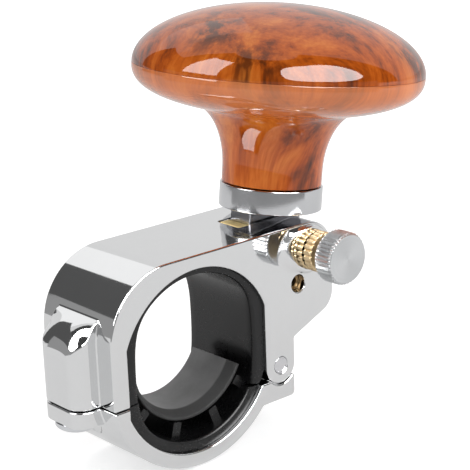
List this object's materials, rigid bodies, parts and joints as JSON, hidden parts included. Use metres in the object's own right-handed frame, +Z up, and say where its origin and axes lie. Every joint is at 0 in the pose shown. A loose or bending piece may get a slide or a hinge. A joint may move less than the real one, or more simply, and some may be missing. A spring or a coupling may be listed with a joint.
{
  "type": "steering wheel spinner knob",
  "caption": "Wood-grain spinner knob that swivels on ball bearings and folds down beside a hinged chrome clamp for a steering wheel rim.",
  "frame": {"origin": "centre of the circle that the rim pad closes round, in the middle of the clamp's depth", "axes": "+Y along the steering wheel rim, away from the pull pin; +Z up towards the knob; +X from the screw boss towards the hinge and the knob"},
  "size_m": [0.0894, 0.06, 0.087],
  "materials": {
    "chrome": "polished",
    "jaw_chrome": "polished",
    "steel": "satin",
    "tongue_steel": "satin",
    "race_steel": "ground",
    "ball_steel": "polished",
    "aluminium": "turned",
    "brass": "knurled and satin",
    "bronze_pin": "dull",
    "liner_rubber": "glossy",
    "pad_rubber": "buffed",
    "wood": "high gloss lacquer"
  },
  "bodies": {
    "clamp": {"upper_clamp": "chrome", "hinge_pin": "steel", "upper_liner": "liner_rubber", "rim_pad": "pad_rubber", "fold_pin": "bronze_pin", "slot_stop": "brass", "plunger_bush": "brass", "plunger_spring": "steel"},
    "jaw": {"lower_jaw": "jaw_chrome", "lower_liner": "liner_rubber"},
    "screw": {"clamp_screw": "steel"},
    "plunger": {"pull_pin": "steel", "thumb_wheel": "aluminium"},
    "fold_arm": {"tongue": "tongue_steel", "stud": "steel", "ferrule": "aluminium", "shim_washer": "steel", "lower_inner_race": "race_steel", "inner_spacer": "steel", "upper_inner_race": "race_steel", "lock_washer": "steel", "lock_nut": "steel"},
    "ball_sets": {"lower_balls": "ball_steel", "lower_cage": "brass", "upper_balls": "ball_steel", "upper_cage": "brass"},
    "knob": {"knob_shell": "wood", "knob_dome": "wood", "lower_outer_race": "race_steel", "upper_outer_race": "race_steel", "bearing_clip": "steel"}
  },
  "joints": [
    {"name": "knob_fold", "type": "hinge", "parent": "clamp", "child": "fold_arm", "pos_m": [0.02675, 0, 0.0077], "axis": [0, 1, 0], "range_deg": [0, 80]},
    {"name": "knob_spin", "type": "hinge", "parent": "fold_arm", "child": "knob", "pos_m": [0.02784, 0, 0.00757], "axis": [0.1201, 0, 0.9928], "continuous": true},
    {"name": "ball_orbit", "type": "hinge", "parent": "fold_arm", "child": "ball_sets", "pos_m": [0.02784, 0, 0.00757], "axis": [0.1201, 0, 0.9928], "continuous": true},
    {"name": "pull_pin_slide", "type": "slide", "parent": "clamp", "child": "plunger", "axis": [0, -1, 0], "range_m": [-0.0018, 0.003], "stiffness_N_per_m": 400, "deforming": ["plunger_spring"]},
    {"name": "jaw_hinge", "type": "hinge", "parent": "clamp", "child": "jaw", "pos_m": [0.02135, 0, -0.0086], "axis": [0, -1, 0], "range_deg": [0, 45]},
    {"name": "screw_out", "type": "slide", "parent": "jaw", "child": "screw", "axis": [0, 0, -1], "range_m": [0, 0.01]}
  ],
  "couplings": [
    {"joint": "ball_orbit", "follows": "knob_spin", "ratio": 0.6304}
  ]
}
